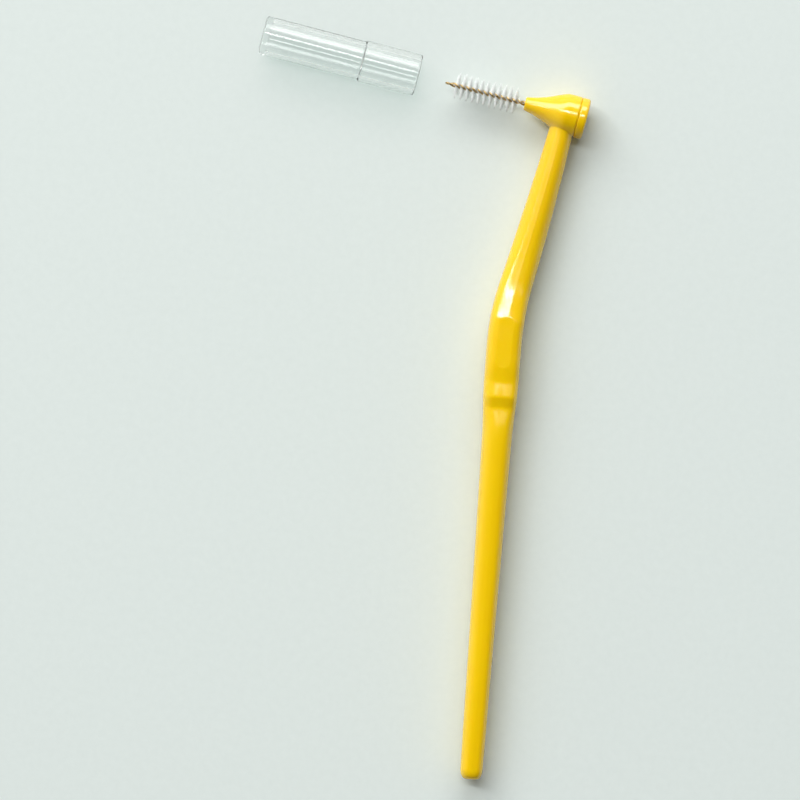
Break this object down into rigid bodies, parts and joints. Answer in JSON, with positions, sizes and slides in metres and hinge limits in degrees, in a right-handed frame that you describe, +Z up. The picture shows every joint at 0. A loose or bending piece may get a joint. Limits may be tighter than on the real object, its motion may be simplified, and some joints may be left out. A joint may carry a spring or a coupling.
{
  "type": "interdental brush",
  "caption": "Angled interdental brush: slim bent handle, flared head holding a twisted wire with fine radial filaments, and a clear push-on cap.",
  "frame": {"origin": "middle of the flat on the underside of the grip, on which the brush lies", "axes": "+Y along the straight shank towards the head, +Z up out of the surface that the brush lies on, the wire points to -X"},
  "size_m": [0.048, 0.1067, 0.006],
  "materials": {
    "handle_plastic": "glossy moulded polypropylene",
    "wire_steel": "bright drawn wire with a warm tint",
    "filament_nylon": "clear nylon monofilament",
    "cap_clear": "clear moulded plastic"
  },
  "bodies": {
    "brush": {"handle": "handle_plastic", "head_plug": "handle_plastic", "core_wire": "wire_steel", "bristle_row_01": "filament_nylon", "bristle_row_02": "filament_nylon", "bristle_row_03": "filament_nylon", "bristle_row_04": "filament_nylon", "bristle_row_05": "filament_nylon", "bristle_row_06": "filament_nylon", "bristle_row_07": "filament_nylon", "bristle_row_08": "filament_nylon", "bristle_row_09": "filament_nylon", "bristle_row_10": "filament_nylon", "bristle_row_11": "filament_nylon"},
    "cap": {"protective_cap": "cap_clear"}
  },
  "joints": [
    {"name": "cap_slide", "type": "slide", "parent": "brush", "child": "cap", "axis": [0.9837, -0.1797, 0], "range_m": [-0.02, 0.01947]}
  ]
}
